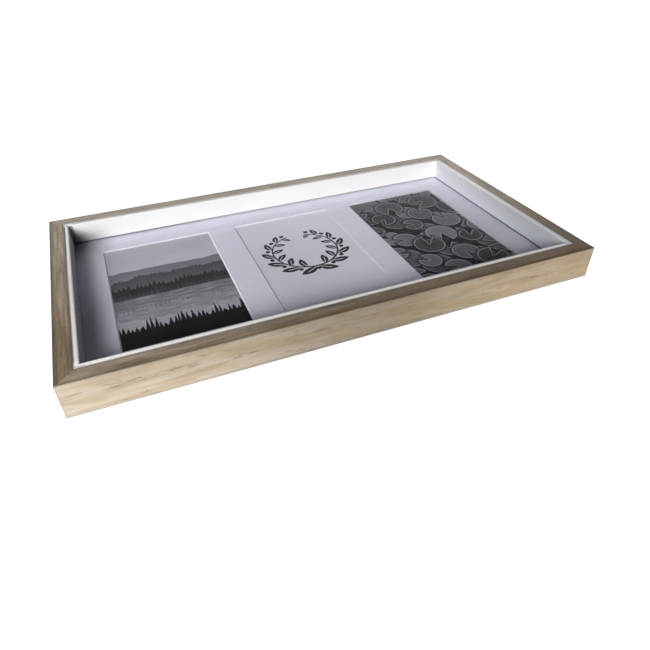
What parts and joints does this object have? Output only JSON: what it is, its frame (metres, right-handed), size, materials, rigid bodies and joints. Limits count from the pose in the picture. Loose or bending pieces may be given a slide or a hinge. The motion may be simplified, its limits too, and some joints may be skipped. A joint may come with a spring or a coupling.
{
  "type": "collage photo frame",
  "caption": "Deep oak-finish box frame with a white liner, a glazed mat with portrait windows for prints, a turn-button back and swinging hanger rings.",
  "frame": {"origin": "middle of the back plane, on which the frame lies", "axes": "+X along the long side, +Y towards the tops of the pictures, +Z out of the front"},
  "size_m": [0.41, 0.2304, 0.0275],
  "materials": {
    "oak_finish": "matt wood-grain wrap",
    "white_liner": "satin white paint",
    "clear_glass": "clear polished",
    "mat_card": "smooth white card",
    "photo_paper": "semi-gloss print",
    "paper_tape": "matt",
    "backing_fibreboard": "raw fibreboard",
    "zinc_steel": "zinc plated",
    "rivet_aluminium": "bright"
  },
  "bodies": {
    "frame": {"rail_bottom": "oak_finish", "stile_right": "oak_finish", "rail_top": "oak_finish", "stile_left": "oak_finish", "liner_bottom": "white_liner", "liner_right": "white_liner", "liner_top": "white_liner", "liner_left": "white_liner", "photo_print_left": "photo_paper", "photo_print_centre": "photo_paper", "photo_print_right": "photo_paper", "hanger_strap_left": "zinc_steel", "hanger_strap_right": "zinc_steel", "corner_v_nails": "zinc_steel", "glass_pane": "clear_glass", "mat_board": "mat_card", "print_tape_tabs": "paper_tape", "backing_board": "backing_fibreboard", "turn_button_screws": "zinc_steel", "hanger_rivets": "rivet_aluminium"},
    "turn_button_top_left": {"turn_button_top_left": "zinc_steel"},
    "turn_button_top_right": {"turn_button_top_right": "zinc_steel"},
    "turn_button_bottom_left": {"turn_button_bottom_left": "zinc_steel"},
    "turn_button_bottom_right": {"turn_button_bottom_right": "zinc_steel"},
    "turn_button_left": {"turn_button_left": "zinc_steel"},
    "turn_button_right": {"turn_button_right": "zinc_steel"},
    "hanger_ring_left": {"hanger_ring_left": "zinc_steel"},
    "hanger_ring_right": {"hanger_ring_right": "zinc_steel"}
  },
  "joints": [
    {"name": "turn_button_top_left_turn", "type": "hinge", "parent": "frame", "child": "turn_button_top_left", "pos_m": [-0.12, 0.1081, 0.0026], "axis": [0, 0, 1], "range_deg": [-90, 90]},
    {"name": "turn_button_top_right_turn", "type": "hinge", "parent": "frame", "child": "turn_button_top_right", "pos_m": [0.12, 0.1081, 0.0026], "axis": [0, 0, 1], "range_deg": [-90, 90]},
    {"name": "turn_button_bottom_left_turn", "type": "hinge", "parent": "frame", "child": "turn_button_bottom_left", "pos_m": [-0.12, -0.1081, 0.0026], "axis": [0, 0, 1], "range_deg": [-90, 90]},
    {"name": "turn_button_bottom_right_turn", "type": "hinge", "parent": "frame", "child": "turn_button_bottom_right", "pos_m": [0.12, -0.1081, 0.0026], "axis": [0, 0, 1], "range_deg": [-90, 90]},
    {"name": "turn_button_left_turn", "type": "hinge", "parent": "frame", "child": "turn_button_left", "pos_m": [-0.19785, 0, 0.0026], "axis": [0, 0, 1], "range_deg": [-90, 90]},
    {"name": "turn_button_right_turn", "type": "hinge", "parent": "frame", "child": "turn_button_right", "pos_m": [0.19785, 0, 0.0026], "axis": [0, 0, 1], "range_deg": [-90, 90]},
    {"name": "hanger_ring_left_swing", "type": "hinge", "parent": "frame", "child": "hanger_ring_left", "pos_m": [-0.09, 0.07025, 0.00135], "axis": [-1, 0, 0], "range_deg": [0, 165]},
    {"name": "hanger_ring_right_swing", "type": "hinge", "parent": "frame", "child": "hanger_ring_right", "pos_m": [0.09, 0.07025, 0.00135], "axis": [-1, 0, 0], "range_deg": [0, 165]}
  ]
}
